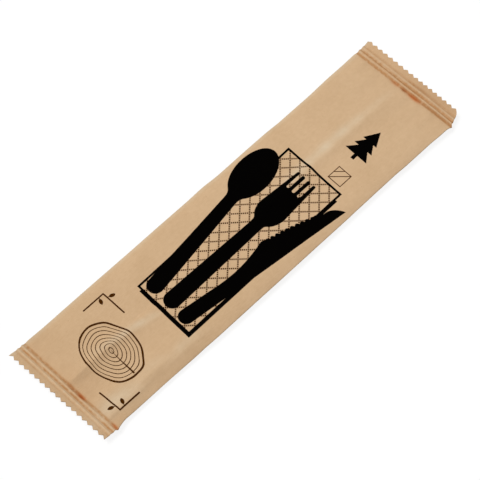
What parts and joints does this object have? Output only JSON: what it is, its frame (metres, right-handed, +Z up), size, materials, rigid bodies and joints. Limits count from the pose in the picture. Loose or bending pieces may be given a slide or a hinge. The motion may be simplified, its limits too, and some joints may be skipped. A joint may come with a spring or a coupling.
{
  "type": "wooden cutlery kit",
  "caption": "Flat sealed kraft paper pack of wooden cutlery, with ribbed, tooth-cut end seals, straight side folds and a seam folded flat along its back.",
  "frame": {"origin": "middle of the pack, on the surface it lies on", "axes": "+X along the pack towards the end that the printed cutlery points to, +Y across it, +Z up out of the printed front"},
  "size_m": [0.2239, 0.0566, 0.0062],
  "materials": {
    "kraft_paper": "matt brown kraft with dark print on the front"
  },
  "bodies": {
    "root": {"paper_pack": "kraft_paper"}
  },
  "joints": []
}
